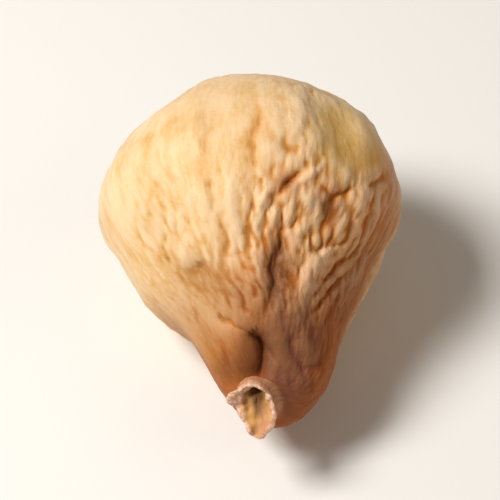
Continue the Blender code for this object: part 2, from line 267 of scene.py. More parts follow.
# Ridges and lumps that stand out between them, given in the same way, with a height instead of the depth
SEEN_RIDGES = {
    "ridge of the left lobe": (((-8.2, 29.6), (-6.2, 32.2), (-4.4, 34.6)), 0.20, 0.80),
    "rib": (((-2.3, 12.8), (-2.2, 16.6), (-1.7, 19.4), (-2.2, 23.0)), 0.30, 0.78),
    "first thin ridge": (((2.5, 13.1), (1.7, 14.4), (1.2, 16.0), (0.9, 17.8), (0.9, 19.0)), 0.36, 0.35),
    "second thin ridge": (((3.2, 15.0), (3.0, 16.4), (2.6, 18.3)), 0.32, 0.35),
    "third thin ridge": (((4.8, 15.4), (4.5, 16.9), (4.2, 18.3)), 0.27, 0.33),
    "wide lump": (((5.9, 14.3), (6.9, 15.5), (7.6, 17.6)), 0.43, 0.78),
    "right part of the wide lump": (((7.9, 14.3), (8.2, 16.2), (7.7, 18.3)), 0.32, 0.55),
    "bright ridge": (((11.0, 15.9), (10.8, 17.6), (10.5, 19.4)), 0.49, 0.55),
    "ridge to its right": (((13.4, 13.7), (12.9, 15.5), (12.4, 17.3)), 0.38, 0.55),
    "thin ridge above the curved fold": (((8.9, 10.5), (8.0, 11.8), (6.7, 12.8), (5.4, 13.6)), 0.38, 0.35),
    "bright lump": (((9.0, 21.8), (7.6, 23.2), (6.8, 25.0), (6.2, 26.9)), 0.55, 1.05),
    "crest of the bright lump": (((10.7, 20.8), (9.0, 21.4), (7.4, 22.2)), 0.41, 0.37),
    "ridge between the two creases": (((11.0, 23.6), (9.5, 25.0), (8.2, 26.5), (7.1, 27.7)), 0.35, 0.33),
    "ridge on the lower right": (((12.5, 23.8), (10.8, 25.8), (9.0, 27.9)), 0.32, 0.55),
    "second ridge on the lower right": (((14.2, 22.5), (12.2, 25.3), (9.9, 28.5)), 0.27, 0.74),
    "ridge on the right side": (((15.2, 14.6), (14.8, 18.4)), 0.27, 0.60),
    "knob of the right lobe": (((6.1, 31.2), (6.6, 32.4), (7.2, 33.5)), 0.56, 0.90),
    "thin ridge above the knob": (((8.9, 27.8), (7.2, 29.1)), 0.24, 0.33),
    "second thin ridge above the knob": (((9.2, 28.7), (7.4, 30.0)), 0.19, 0.31),
    "small lump": (((0.6, 21.6), (1.0, 24.2)), 0.32, 0.64),
    "second small lump": (((4.6, 18.9), (5.4, 20.6)), 0.30, 0.55),
    "left of the valley": (((2.0, 24.8), (1.2, 27.0)), 0.27, 0.51),
    "right of the valley": (((3.7, 25.8), (3.3, 29.6)), 0.32, 0.46),
    "first streak on the left": (((-9.5, 16.4), (-9.2, 18.4)), 0.14, 0.46),
    "lump on the left": (((-8.2, 21.4), (-8.0, 22.8)), 0.27, 0.69),
    "second streak on the left": (((-5.2, 21.0), (-5.0, 23.0)), 0.27, 0.46),
    "third streak on the left": (((-3.8, 20.8), (-3.9, 23.6)), 0.19, 0.41),
    "first lump at the upper right": (((9.4, 3.1), (10.8, 3.9)), 0.34, 1.10),
    "second lump at the upper right": (((13.0, 5.9), (13.9, 8.1)), 0.34, 1.20),
    "third lump at the upper right": (((10.8, 11.3), (12.0, 12.5)), 0.34, 0.95),
    "fourth lump at the upper right": (((8.3, 7.0), (8.1, 8.9)), 0.32, 0.95),
    "first lump at the top": (((5.5, 3.0), (6.2, 4.9)), 0.26, 1.00),
    "second lump at the top": (((2.0, 8.2), (2.7, 10.3)), 0.26, 1.00),
}
# Places where the camera sees browner skin: partly skin that dried browner and partly painted shade on the
# right side, round the neck and in the deep folds. Across and down in millimetres, how far each reaches
# across and down, and how brown it is.
SEEN_STAINS_AND_SHADE = {
    "valley above the cleft": (3.3, 22.6, 1.9, 4.2, 2.00),
    "below the valley": (3.2, 27.4, 2.2, 4.0, 0.65),
    "forked fold": (9.3, 16.0, 1.6, 2.6, 1.20),
    "curved fold": (4.4, 13.3, 1.6, 1.5, 1.35),
    "right side": (17.5, 19.5, 5.5, 8.5, 1.00),
    "upper right edge": (18.0, 9.0, 2.2, 6.5, 0.70),
    "lower right": (12.5, 25.0, 5.5, 5.5, 0.70),
    "right of the neck": (11.4, 30.6, 3.2, 5.5, 0.70),
    "knobbly part": (8.5, 17.0, 8.5, 8.5, 0.36),
    "tip of the left lobe": (-2.4, 35.4, 2.8, 2.8, 1.50),
    "beside the cleft": (0.4, 33.0, 1.8, 3.2, 1.95),
    "middle of the left lobe": (-5.0, 32.0, 3.0, 3.0, 0.30),
    "above the left lobe": (-0.8, 26.2, 3.2, 4.6, 1.05),
    "dents at the lower left": (-6.4, 23.6, 2.8, 2.0, 0.70),
    "wrinkles at the lower left": (-5.8, 27.0, 5.2, 3.8, 0.66),
    "groove at the upper left": (-5.5, 7.0, 1.2, 5.5, 0.30),
    "line below it": (-4.7, 14.5, 0.9, 3.0, 0.30),
    "long dent": (0.8, 6.5, 1.3, 3.6, 0.22),
    "orange streak": (-0.3, 15.6, 0.8, 3.6, 0.34),
    "left of the rib": (-3.2, 19.0, 1.1, 4.2, 0.30),
    "streaks on the left": (-11.0, 18.0, 2.6, 5.0, 0.05),
    "small dent": (5.0, 9.0, 2.0, 1.4, 0.28),
    "right lobe": (3.8, 33.8, 2.4, 2.8, 1.15),
}
# Ovals of the skin that the camera sees and that differ from the rest: across and down in millimetres, how
# far each reaches across and down, and where it begins and ends to fade, over that reach
SEEN_OVALS = {
    "knobbly part": (7.5, 19.5, 9.5, 13.5, 0.55, 1.15),
    "left lobe": (-4.5, 33.0, 6.0, 5.0, 0.5, 1.2),
    "right lobe": (4.6, 33.0, 4.2, 8.5, 0.45, 1.25),
    "green patch": (12.0, 7.6, 5.2, 6.0, 0.55, 1.15),
}
# Where the skin changes from one finish to the next, in millimetres across or down
TOP_ACROSS, TOP_DOWN = (0.0, 9.0), (9.0, 15.0)
LEFT_EDGE_ACROSS, LEFT_EDGE_DOWN = (-15.0, -11.5), (21.0, 27.0)
RIGHT_EDGE_ACROSS = (12.5, 16.0)
LEFT_ACROSS = (-5.0, 0.0)
LEFT_NECK_DOWN, RIGHT_NECK_DOWN, NECK_ACROSS = (23.5, 35.5), (20.0, 31.0), (-1.5, 2.5)
# The same over half the width: along the axis on the neck's back and on the stalk, and in radius at the foot
# of the stalk, in its cut and round the eye
BACK_NECK_ALONG, STALK_FROM_ALONG = (1.45, 2.15), 2.2
STALK_RADIUS, HOLLOW_RADIUS = (0.135, 0.165), (0.030, 0.078)
STREAK_RADIUS, EYE_RADIUS = (0.03, 0.06), (0.19, 0.25)
STREAK_ANGLE, STREAK_REACH = 138.0, 20.0   # the pink streak in the cut, in degrees
LEAST_LIVELY = 0.30       # how lively the skin is outside the knobbly part
BACK_LIVELY, BACK_SWELL, BACK_SIZE = 0.62, 0.30, 15.0 * MM   # and on the back, where it comes and goes
LEFT_LOBE_CALM = 0.4      # how calm the skin of the left lobe is
HIDDEN_BROWN = 0.30       # how brown the skin is on the sides that the camera doesn't see
HIDDEN_MAUVE = 0.4        # and how mauve its neck is there
# Where the stains run deepest, painted shade is laid over them
PAINTED_SHADE_FROM = 0.9           # how brown the skin is where it begins to turn dark
# Regions that only shape the skin, so that the material doesn't read them
SHAPE_REGIONS = ("traced", "hidden", "edge", "calm", "underside")
# What share the regions take away of how lively the skin is, and of the painted shade in its creases
LIVELY_LOSS = {"green": 0.55, "underside": 0.45, "calm": 0.7, "left": 0.55}
# The painted crease shade is halved on the left side, which faces the light
CREASE_SHADE_LOSS = {"left": 0.5}
# For each pattern, its share where the skin isn't lively, and what share of it the regions take away
PATTERN_LOSS = {
    "ribs": (0.35, {"calm": 0.4, "hidden": -0.5}),
    "wrinkles": (0.0, {"traced": 0.25}),
    "lumps": (0.0, {"traced": 0.25, "neck": 0.6}),
    "small lumps": (
        0.25, {"neck": 0.5, "edge": 0.6, "left": 0.35, "green": 0.7, "calm": 0.9, "hidden": 0.6}),
    "fine wrinkles": (0.35, {"neck": 0.4, "edge": 0.6, "left": 0.35, "green": 0.7, "calm": 0.85}),
}
# Patterns of wrinkles: how far they turn from the fig's length in radians, how much further on lively skin,
# and over what distance. Then how large a patch of waves is, over their spacing, how much longer than wide,
# how sharp the creases are, and the seeds of the turns and of the patches.
WRINKLES = {
    "ribs": (0.18, 0.0, 14.0 * MM, 1.1, 2.2, 0.5, 21, 31),
    "wrinkles": (0.12, 0.24, 6.0 * MM, 0.85, 2.6, 1.0, 22, 32),
    "fine wrinkles": (0.25, 0.0, 4.0 * MM, 0.8, 3.0, 0.5, 23, 33),
}
SHARP_FROM, SHARP_FULL = 0.25, 0.8   # how lively the skin is where creases begin to sharpen, and are sharpest
# The same for the wrinkles
NARROWEST, NARROW_RADIUS = 0.42, (0.15, 0.85)
CLOSENESS_SWELL, CLOSENESS_SIZE = 0.28, 7.0 * MM   # how unevenly far apart they are, and over what distance
UNEVEN_SWELL, UNEVEN_SIZE = 0.5, 3.6 * MM          # and how unevenly high
CLOSENESS_LIMITS, UNEVEN_LIMITS, LUMP_UNEVEN_LIMITS = (0.6, 1.6), (0.2, 1.9), (0.4, 1.4)
# Folds on the sides that the camera doesn't see. Their points are an angle from the top in degrees, to the
# right positive, and a distance along the axis over half the width. Depth and width are in millimetres.
HIDDEN_FOLDS = {
    "right side": (((122.0, 0.62), (112.0, 0.90), (99.0, 1.20), (97.0, 1.45)), 1.1, 0.8),
    "left side": (((-132.0, 0.55), (-122.0, 0.85), (-107.0, 1.08), (-103.0, 1.30)), 1.0, 0.8),
    "underside of the neck": (((168.0, 1.50), (174.0, 1.80), (170.0, 2.12)), 1.3, 0.8),
    "left of the eye": (((-60.0, 0.10), (-52.0, 0.30), (-57.0, 0.55)), 0.7, 0.6),
    "below the eye": (((150.0, 0.12), (158.0, 0.35), (149.0, 0.60)), 0.8, 0.6),
}
# The eye's slits. Their points are to the right and up from its middle, in millimetres, then depth and width.
EYE_SLITS = (
    (((0.1, 0.1), (0.5, 0.9), (0.9, 1.8)), 0.9, 0.20),
    (((0.2, 0.0), (1.0, -0.5), (1.9, -1.1)), 0.8, 0.17),
    (((0.0, -0.1), (0.1, -1.0), (-0.4, -2.0)), 1.0, 0.26),
    (((-0.1, 0.0), (-0.9, 0.1), (-1.9, -0.2)), 0.9, 0.20),
    (((-0.2, 0.3), (-0.8, 1.1), (-1.1, 1.5)), 0.6, 0.15),
    (((1.0, -0.5), (1.2, -1.2), (1.1, -1.7)), 0.6, 0.14),
)


def length_property(name, description, default):
    return FloatProperty(
        name=name, description=description, default=default, unit="LENGTH", subtype="DISTANCE")


def colour_property(name, description, default):
    return FloatVectorProperty(
        name=name, description=description, default=default, size=4, min=0.0, max=1.0, subtype="COLOR")


class DriedFigShape(bpy.types.PropertyGroup):
    body_width: length_property("Body width", "Across the widest part of the body", 36.0 * MM)
    stalk_droop: FloatProperty(
        name="Stalk droop", description="How far the axis drops towards the stalk",
        default=math.radians(12.0), unit="ROTATION", subtype="ANGLE")
    tray_flat_depth: length_property(
        "Flat depth", "How much of the underside the drying tray pressed flat", 1.1 * MM)
    meridians: IntProperty(name="Meridians", description="Faces around the fig", default=420, min=24)
    rings: IntProperty(name="Rings", description="Faces along the fig", default=232, min=24)
    fold_strength: FloatProperty(
        name="Fold strength", description="Scales the depth of the hand-placed folds", default=0.88, min=0.0)
    swell_size: length_property("Swell size", "How long the broad dents are", 13.0 * MM)
    swell_height: length_property("Swell height", "How high the broad dents are", 0.25 * MM)
    rib_spacing: length_property("Rib spacing", "From one rib to the next on the body", 3.9 * MM)
    rib_height: length_property("Rib height", "How far the ribs stand out", 0.17 * MM)
    wrinkle_spacing: length_property(
        "Wrinkle spacing", "From one wrinkle to the next on the body", 1.75 * MM)
    wrinkle_height: length_property("Wrinkle height", "How far the wrinkles stand out", 0.16 * MM)
    lump_spacing: length_property("Lump spacing", "From one lump to the next on the body", 2.7 * MM)
    lump_height: length_property("Lump height", "How far the lumps stand out", 0.17 * MM)
    small_lump_spacing: length_property("Small lump spacing", "From one small lump to the next", 1.35 * MM)
    small_lump_height: length_property("Small lump height", "How far the small lumps stand out", 0.10 * MM)
    fine_spacing: length_property("Fine wrinkle spacing", "From one fine wrinkle to the next", 1.0 * MM)
    fine_height: length_property("Fine wrinkle height", "How far the fine wrinkles stand out", 0.095 * MM)


class DriedFigColours(bpy.types.PropertyGroup):
    ridge: colour_property("Ridge", "Cream of the ridges", (0.84, 0.61, 0.36, 1.0))
    # Crest: the placed ridges painted paler, partly their own cream and partly painted highlight
    crest: colour_property("Crest", "Pale cream of the highest ridges", (0.86, 0.63, 0.42, 1.0))
    slope: colour_property("Slope", "Honey of the slopes between ridge and valley", (0.71, 0.405, 0.13, 1.0))
    valley: colour_property("Valley", "Orange brown of the valleys", (0.46, 0.205, 0.052, 1.0))
    # Brown and gold are one stain painted in shade and in light: brown away from the light, gold on the lit
    # left
    brown: colour_property("Brown side", "Skin on the side that dried browner", (0.55, 0.168, 0.019, 1.0))
    gold: colour_property(
        "Golden side", "Darker skin on the side that faces the light", (0.48, 0.225, 0.07, 1.0))
    # Cleft: the folds' own red brown darkened further as painted crease shade
    cleft: colour_property("Cleft", "Red brown of the deepest folds", (0.20, 0.040, 0.014, 1.0))
    # Shade: painted shade laid over the deepest valley, the deep folds and the neck's shaded lobes
    shade: colour_property("Shade", "Dark brown of the deepest valley", (0.18, 0.062, 0.022, 1.0))
    green: colour_property("Green patch", "Skin that dried green", (0.72, 0.50, 0.12, 1.0))
    # Neck and lobe: the neck's own browns, made darker and redder in part as painted shade
    neck: colour_property("Neck", "Pinkish brown of the neck", (0.20, 0.067, 0.038, 1.0))
    lobe: colour_property("Lobe", "Orange brown of the neck's thin edges", (0.34, 0.080, 0.008, 1.0))
    stalk: colour_property("Stalk", "Bark of the stalk", (0.56, 0.30, 0.17, 1.0))
    cut_rim: colour_property("Cut rim", "Pale rim of the cut", (0.88, 0.62, 0.49, 1.0))
    cut_gold: colour_property("Cut", "Golden lower part of the cut", (0.66, 0.36, 0.09, 1.0))
    cut_pink: colour_property("Cut streak", "Pink streak in the cut", (0.55, 0.21, 0.17, 1.0))
    # Cut hollow: the cut's own brown, darkened in part as painted shade under the rim
    cut_hollow: colour_property("Cut hollow", "Brown hollow of the cut", (0.20, 0.09, 0.035, 1.0))
    eye: colour_property("Eye", "Pale disc of the eye", (0.80, 0.62, 0.48, 1.0))
    slit: colour_property("Slit", "Dark slits of the eye", (0.07, 0.025, 0.012, 1.0))
    roughness: FloatProperty(
        name="Roughness", description="Roughness of the skin", default=0.40, min=0.0, max=1.0,
        subtype="FACTOR")


class DriedFigStage(bpy.types.PropertyGroup):
    floor: colour_property("Floor", "Plain pale floor", (0.86, 0.855, 0.845, 1.0))
    floor_radius: length_property("Floor radius", "How far the floor runs", 4.0)
    picture_height: length_property(
        "Picture height", "How much the picture shows at the fig, from top to bottom", 60.0 * MM)
    camera_distance: length_property("Camera distance", "From the camera to the fig", 0.5)
    key_power: FloatProperty(
        name="Key light", description="Power of the soft light from the upper left", default=3.5,
        unit="POWER")
    fill_power: FloatProperty(
        name="Fill light", description="Power of the weak light from the right", default=0.66, unit="POWER")
    sky: FloatProperty(
        name="Sky", description="Strength of the even light from all round", default=0.17, min=0.0)


def smooth_step(low, high, value):
    """0 below low, 1 above high, and a smooth step between them."""
    share = np.clip((value - low) / (high - low), 0.0, 1.0)
    return share * share * (3.0 - 2.0 * share)


def smooth_curve(points, steps_between):
    """Close points on a smooth curve through these points."""
    rows = [np.array(point, float) for point in points]
    rows = [2 * rows[0] - rows[1], *rows, 2 * rows[-1] - rows[-2]]
    curve = []
    for before, start, end, after in zip(rows, rows[1:], rows[2:], rows[3:]):
        for share in np.arange(steps_between) / steps_between:
            curve.append(0.5 * (
                2.0 * start
                + (end - before) * share
                + (2.0 * before - 5.0 * start + 4.0 * end - after) * share**2
                + (3.0 * start - before - 3.0 * end + after) * share**3
            ))
    curve.append(rows[-2])
    return np.array(curve)


def even_sections(count):
    """count + 1 sections along the profile, closer together where the last column says so."""
    curve = smooth_curve(SECTIONS, STEPS_BETWEEN_SECTIONS)
    steps = np.hypot(np.diff(curve[:, ALONG]), np.diff(curve[:, RADIUS])) * curve[1:, CLOSENESS]
    travelled = np.concatenate([[0.0], np.cumsum(steps)])
    wanted = np.linspace(0.0, travelled[-1], count + 1)
    return np.column_stack([np.interp(wanted, travelled, column) for column in curve.T])


def unit(vectors):
    return vectors / np.maximum(np.linalg.norm(vectors, axis=-1, keepdims=True), TINY)


def swell(points, size, seed):
    """Smooth bumps and dents of about this size, around 0 and rarely past 2."""
    random = np.random.default_rng(seed)
    ways = unit(random.normal(size=(SWELL_WAVES, 3)))
    ways = ways * random.uniform(*SWELL_SPREAD, (SWELL_WAVES, 1)) * math.tau / size
    shifts = random.uniform(0.0, math.tau, SWELL_WAVES)
    total = np.zeros(len(points))
    for way, shift in zip(ways, shifts):
        total += np.cos(points @ way + shift)
    return total * math.sqrt(2.0 / SWELL_WAVES)


def turned_from(angles, degrees):
    """How far these angles are from one in degrees, in radians either way."""
    return (angles - math.radians(degrees) + math.pi) % math.tau - math.pi


def bump_at(angles, degrees, spread):
    """1 at an angle in degrees and less away from it."""
    return np.exp(-((turned_from(angles, degrees) / math.radians(spread)) ** 2))


class Skin:
    """The fig's skin as a grid: one row of points for each ring, from the eye to the cut."""

    def __init__(self, shape):
        self.half = shape.body_width / 2
        self.sections = even_sections(shape.rings)
        turns = np.arange(shape.meridians) * math.tau / shape.meridians
        self.angles = turns - CROWDING * np.sin(turns)
        self.rows, self.columns = len(self.sections), len(self.angles)
        self.points = self.turned(shape.stalk_droop)
        lowest = self.points[..., 2].min() + shape.tray_flat_depth
        self.points[..., 2] -= lowest
        self.find_directions()

    def rim_share(self):
        """0 up to the foot of the stalk, and 1 at the rim of its cut and inside it."""
        last = int(np.argmax(self.sections[:, ALONG]))
        return smooth_step(last - CUT_RINGS, last - 1, np.arange(len(self.sections)))

    def inside_share(self):
        """0 up to the rim of the cut, and 1 inside it."""
        last = int(np.argmax(self.sections[:, ALONG]))
        return smooth_step(last, last + INSIDE_RINGS, np.arange(len(self.sections)))

    def column(self, which):
        """One column of the sections, for every point of the skin."""
        return np.repeat(self.sections[:, which], self.columns)

    def angle(self):
        """The angle from the top of every point of the skin, from -pi to pi, to the right positive."""
        wrapped = (self.angles + math.pi) % math.tau - math.pi
        return np.tile(wrapped, self.rows)

    def turned(self, droop):
        """The places of the plain turned shape, laid down with its stalk drooping."""
        along, radius, aside, raised, flatness, lean = self.sections[:, :WRINKLED, None].transpose(1, 0, 2)
        ahead = lean * np.cos(self.angles - math.radians(LEAN_TOWARDS))
        torn, inside = self.rim_share()[:, None], self.inside_share()[:, None]
        knob = KNOB_SIZE * bump_at(self.angles, KNOB_ANGLE, KNOB_REACH) * (1.0 - KNOB_LOSS_INSIDE * inside)
        narrower = SIDE_SIZE * sum(bump_at(self.angles, angle, SIDE_REACH) for angle in SIDE_ANGLES)
        thick = WALL_SIZE * bump_at(self.angles, WALL_ANGLE, WALL_REACH) * inside
        radius = radius * (1.0 + torn * (knob - narrower - thick))
        right = (radius * np.sin(self.angles) + aside) * self.half
        up = (radius * np.cos(self.angles) * flatness + raised) * self.half
        back = -(along + ahead) * self.half
        cosine, sine = math.cos(droop), math.sin(droop)
        return np.stack([right, back * cosine - up * sine, back * sine + up * cosine], axis=-1)

    def find_directions(self):
        """Unit vectors around the fig, along it, and out of the skin."""
        around = np.roll(self.points, -1, axis=1) - np.roll(self.points, 1, axis=1)
        along = np.gradient(self.points, axis=0)
        out = np.cross(along, around)
        out[0] = out[1].mean(axis=0)
        out[-1] = out[-2].mean(axis=0)
        self.out = unit(out)
        middle = self.points[self.rows // 4]
        if np.sum(self.out[self.rows // 4] * (middle - middle.mean(axis=0))) < 0.0:
            self.out = -self.out
        self.along = unit(along)
        self.around = unit(np.cross(self.out, self.along))
        self.area = np.linalg.norm(np.cross(along, around / 2), axis=-1)

    def travelled(self):
        """How far each row lies from the first, along the skin."""
        gaps = np.linalg.norm(np.diff(self.points, axis=0), axis=-1).mean(axis=1)
        return np.concatenate([[0.0], np.cumsum(gaps)])

    def column_gaps(self):
        """How far apart the columns are in each row, on average."""
        gaps = np.linalg.norm(self.points - np.roll(self.points, 1, axis=1), axis=-1)
        return np.maximum(gaps.mean(axis=1), LEAST_GAP)

    def sunk(self, size):
        """How deep each point lies below the skin around it, out to about this distance."""
        travelled = self.travelled()
        near = np.exp(-0.5 * ((travelled[:, None] - travelled) / size) ** 2) * np.gradient(travelled)
        near /= near.sum(axis=1, keepdims=True)
        around = np.einsum("ij,jkl->ikl", near, self.points)
        waves = np.fft.rfftfreq(self.columns) * math.tau
        kept = np.exp(-0.5 * (waves * size / self.column_gaps()[:, None]) ** 2)
        around = np.fft.irfft(np.fft.rfft(around, axis=1) * kept[..., None], n=self.columns, axis=1)
        return np.sum((around - self.points) * self.out, axis=-1).ravel()

    def flat(self, grid):
        return grid.reshape(-1, grid.shape[-1])

    def move(self, offset):
        self.points = self.points + offset.reshape(self.points.shape)
        self.find_directions()


def picture_places(points):
    """Where the camera sees these points: across from the middle and down from the top, in metres."""
    tilt = math.radians(CAMERA_ELEVATION)
    up = points[..., 1] * math.sin(tilt) + points[..., 2] * math.cos(tilt)
    middle = (points[..., 0].min() + points[..., 0].max()) / 2
    return np.stack([points[..., 0] - middle, up.max() - up], axis=-1)


def towards_camera():
    tilt = math.radians(CAMERA_ELEVATION)
    return np.array([0.0, -math.cos(tilt), math.sin(tilt)])


def seen_path(skin, places, path):
    """The path on the skin that the camera sees along these places of the picture."""
    seen = np.flatnonzero(skin.flat(skin.out) @ towards_camera() > FACING)
    points, spots = skin.flat(skin.points)[seen], places[seen]
    found = []
    for spot in smooth_curve(np.array(path) * MM, STEPS_BETWEEN_POINTS):
        gaps = np.sum((spots - spot) ** 2, axis=1)
        nearest = np.argpartition(gaps, NEAREST_POINTS)[:NEAREST_POINTS]
        weights = 1.0 / (gaps[nearest] + SMALLEST_GAP**2)
        found.append(weights @ points[nearest] / weights.sum())
    return np.array(found)


def hidden_path(skin, path):
    """The path on the skin through these places, each an angle in degrees and a distance along the axis."""
    last = int(np.argmax(skin.sections[:, ALONG] > SECTIONS[LAST_NECK_SECTION][ALONG]))
    first = int(np.argmin(skin.sections[:last, ALONG]))
    found = []
    for degrees, along in smooth_curve(path, STEPS_BETWEEN_POINTS):
        row = np.interp(along, skin.sections[first:last, ALONG], np.arange(first, last))
        column = np.interp(math.radians(degrees % 360.0), skin.angles, np.arange(skin.columns))
        low_row, low_column = int(row), int(column)
        row_share, column_share = row - low_row, column - low_column
        ends = skin.points[low_row:low_row + 2, [low_column, (low_column + 1) % skin.columns]]
        ends = ends[:, 0] * (1.0 - column_share) + ends[:, 1] * column_share
        found.append(ends[0] * (1.0 - row_share) + ends[1] * row_share)
    return np.array(found)


def wandering(path, size, seed):
    """The path with small bends in it, as creases have."""
    shift = np.stack([swell(path, size, seed + axis) for axis in range(3)], axis=-1)
    return path + shift * size * BEND_SHARE


def way_to_path(points, path, reach):
    """Which points lie near the path, the way from each to it, and how far along it, from 0 to 1."""
    near = np.all((points > path.min(axis=0) - reach) & (points < path.max(axis=0) + reach), axis=1)
    near = np.flatnonzero(near)
    gaps = np.linalg.norm(points[near, None] - path[None], axis=-1)
    nearest = gaps.argmin(axis=1)
    return near, path[nearest] - points[near], nearest / (len(path) - 1)


def crease_shape(distance, width):
    """A crease's depth beside it: a narrow bottom in a broader dip, with skin that bulges on both sides."""
    softening, narrow_width, broad_width = 0.40 * width, 0.65 * width, 1.7 * width
    bulge_distance, bulge_width = 3.0 * width, 1.2 * width
    softened = np.sqrt(distance**2 + softening**2) - softening
    narrow, broad = np.exp(-softened / narrow_width), np.exp(-((distance / broad_width) ** 2))
    bulge = np.exp(-(((distance - bulge_distance) / bulge_width) ** 2))
    return NARROW_DEPTH * narrow + (1.0 - NARROW_DEPTH) * broad - BULGE_HEIGHT * bulge


def dent_shape(distance, width):
    """A dent's depth beside it: rounded at the bottom."""
    return np.exp(-((distance / width) ** 2))


def fold_skin(skin, path, depth, width, shape_beside, pinch, seed):
    """How one fold or dent moves the skin."""
    points, out = skin.flat(skin.points), skin.flat(skin.out)
    near, way, share = way_to_path(points, path, FOLD_REACH * width)
    distance = np.linalg.norm(way, axis=1)
    middle = np.sin(math.pi * np.clip(share, 0.0, 1.0)) ** FOLD_BLUNTNESS
    taper = FOLD_ENDS + (1.0 - FOLD_ENDS) * middle
    uneven = 1.0 + FOLD_UNEVENNESS * swell(points[near], FOLD_UNEVEN_SIZE, seed)
    uneven = np.clip(uneven, *FOLD_LIMITS)
    inward = shape_beside(distance, width) * depth * taper * uneven
    sideways = way - np.sum(way * out[near], axis=1, keepdims=True) * out[near]
    pull = pinch * taper * np.exp(-((distance / (PINCH_REACH * width)) ** 2))
    offset = np.zeros_like(points)
    offset[near] = sideways * pull[:, None] - out[near] * inward[:, None]
    return offset


def ridge_skin(skin, path, height, width):
    """How one ridge or lump lifts the skin."""
    points, out = skin.flat(skin.points), skin.flat(skin.out)
    near, way, share = way_to_path(points, path, RIDGE_REACH * width)
    distance = np.linalg.norm(way, axis=1)
    lift = np.zeros(len(points))
    taper = RIDGE_ENDS + (1.0 - RIDGE_ENDS) * np.sin(math.pi * share)
    lift[near] = height * np.exp(-((distance / width) ** 2)) * taper
    return lift


def wrinkle_field(skin, spacing, turns, patch_size, stretch, seed):
    """The phase and the strength of wrinkles this far apart, along the fig but for these turns in radians.
    Many small patches of waves make them, and each starts in step with those already there."""
    random = np.random.default_rng(seed)
    points = skin.flat(skin.points)
    around, along = skin.flat(skin.around), skin.flat(skin.along)
    weights = skin.area.ravel() / (PATCH_DISTANCE * spacing) ** 2
    count = int(weights.sum())
    chosen = random.choice(len(points), count, replace=False, p=weights / weights.sum())
    field = np.zeros((skin.rows, skin.columns), complex)
    travelled, column_gap = skin.travelled(), skin.column_gaps()
    for index in chosen:
        reach = patch_size * spacing[index]
        row, column = divmod(index, skin.columns)
        first = int(np.searchsorted(travelled, travelled[row] - PATCH_LENGTH * reach))
        last = int(np.searchsorted(travelled, travelled[row] + PATCH_LENGTH * reach))
        width = int(min(PATCH_WIDTH * reach / column_gap[row] + 2, (skin.columns - 1) // 2))
        columns = np.arange(column - width, column + width + 1) % skin.columns
        offset = skin.points[first:last, columns] - points[index]
        turn = turns[index]
        across_way = around[index] * math.cos(turn) + along[index] * math.sin(turn)
        along_way = along[index] * math.cos(turn) - around[index] * math.sin(turn)
        across = offset @ across_way
        weight = np.exp(-0.5 * ((across / reach) ** 2 + (offset @ along_way / (stretch * reach)) ** 2
                                + (offset @ np.cross(across_way, along_way) / reach) ** 2))
        here = field[row, column]
        phase = np.angle(here) if abs(here) > IN_STEP_FROM else random.uniform(0.0, math.tau)
        field[first:last, columns] += weight * np.exp(1j * (math.tau * across / spacing[index] + phase))
    field = field.ravel()
    strength = np.abs(field)
    return np.angle(field), strength / (strength + WEAK_PATCHES)


def lumps(places, spacing, seed):
    """Rounded lumps about this far apart, around 0, with creases between them that meet in threes."""
    random = np.random.default_rng(seed)
    bend_size = LUMP_BEND_SIZE * spacing
    shift = np.stack([swell(places, bend_size, seed + 1 + axis) for axis in range(3)], axis=-1)
    places = (places + shift * spacing * LUMP_BEND) / spacing
    seeds = np.empty((0, 3))
    for candidate in places[random.choice(len(places), len(places) // LUMP_CANDIDATES, replace=False)]:
        if len(seeds) == 0 or np.min(np.sum((seeds - candidate) ** 2, axis=1)) > LUMP_DISTANCE**2:
            seeds = np.vstack([seeds, candidate])
    head_start = random.uniform(0.0, LUMP_HEAD_START, len(seeds))
    depth = np.empty(len(places))
    for part in np.array_split(np.arange(len(places)), LUMP_PARTS):
        squares = np.sum(places[part] ** 2, axis=1)[:, None] + np.sum(seeds**2, axis=1)
        gaps = np.maximum(squares - 2.0 * places[part] @ seeds.T, 0.0)
        nearness = np.exp(-LUMP_SHARPNESS * (gaps - head_start))
        depth[part] = -np.log(np.maximum(nearness.sum(axis=1), TINY)) / LUMP_SHARPNESS
    return np.clip((depth.mean() - depth) / LUMP_DEPTH, -LUMP_LIMIT, LUMP_LIMIT)


def wrinkle_profile(phase, sharpness):
    """Rounded ridges around 0, with soft valleys between them at sharpness 0 and creases at 1."""
    creased = np.sqrt(np.cos(phase / 2) ** 2 + CREASE_ROUNDING) - CREASED_MEAN
    return creased * sharpness + SOFT_HEIGHT * np.cos(phase) * (1.0 - sharpness)


def seen_oval(name, across, down):
    """1 inside one of the ovals that the camera sees, and 0 outside it."""
    middle_across, middle_down, reach_across, reach_down, inner, outer = SEEN_OVALS[name]
    gap = np.hypot((across - middle_across) / reach_across, (down - middle_down) / reach_down)
    return 1.0 - smooth_step(inner, outer, gap)


